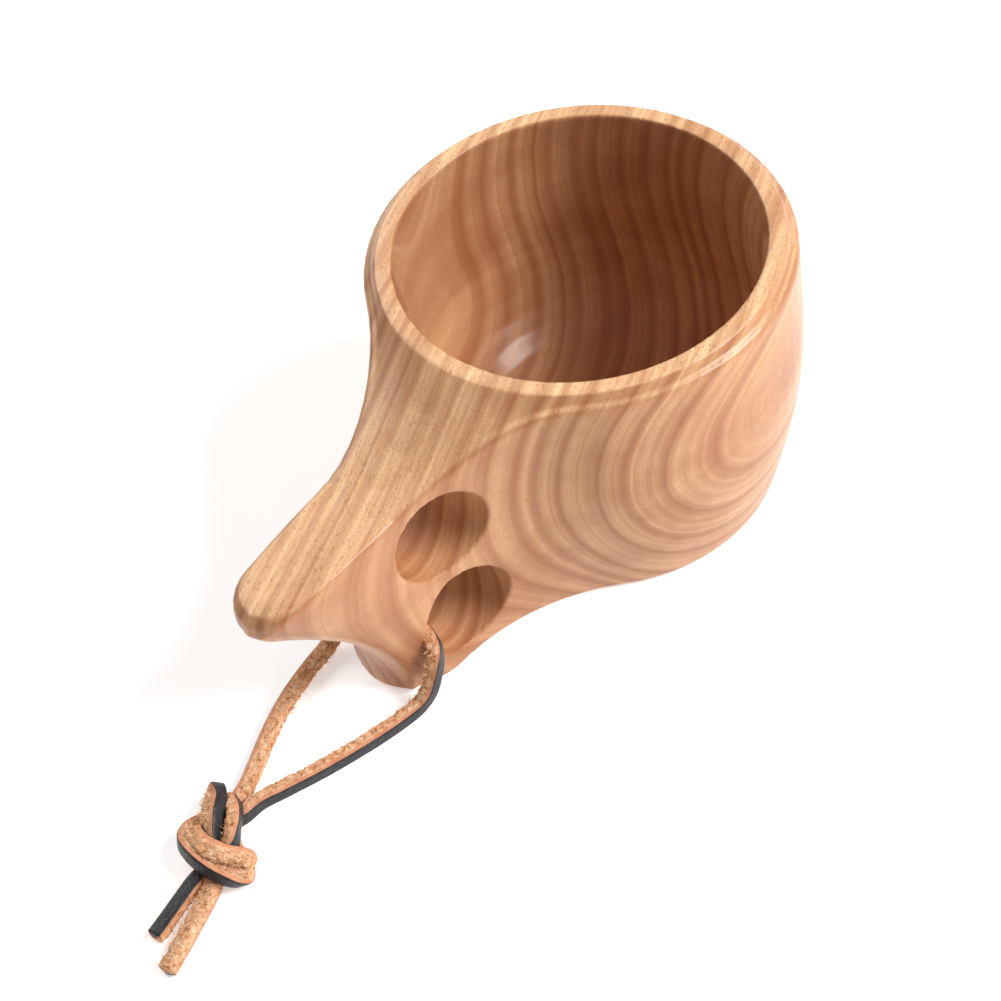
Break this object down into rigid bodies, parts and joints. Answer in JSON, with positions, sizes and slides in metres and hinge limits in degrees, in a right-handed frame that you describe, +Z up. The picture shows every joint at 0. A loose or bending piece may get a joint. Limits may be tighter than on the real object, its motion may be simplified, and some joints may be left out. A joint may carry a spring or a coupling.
{
  "type": "kuksa wooden cup",
  "caption": "Carved wooden drinking cup with a broad handle bored for the fingers and a knotted leather thong to hang it by.",
  "frame": {"origin": "middle of the bowl's base, where it stands on the table", "axes": "+Z up along the bowl's axis, -X along the handle towards its nose, +Y across the handle"},
  "size_m": [0.1988, 0.09, 0.065],
  "materials": {
    "wood": "satin oiled wood",
    "suede": "rough flesh side and cut edges of the thong",
    "black_leather": "smooth black grain side of the thong"
  },
  "bodies": {
    "cup": {"cup_body": "wood"},
    "thong": {"thong_loop": "suede", "thong_knot": "suede", "thong_tail_long": "suede", "thong_tail_short": "black_leather"}
  },
  "joints": [
    {"name": "thong_swing", "type": "hinge", "parent": "cup", "child": "thong", "pos_m": [-0.06775, 0, 0.0152], "axis": [0, 1, 0], "range_deg": [-60, 50]}
  ]
}
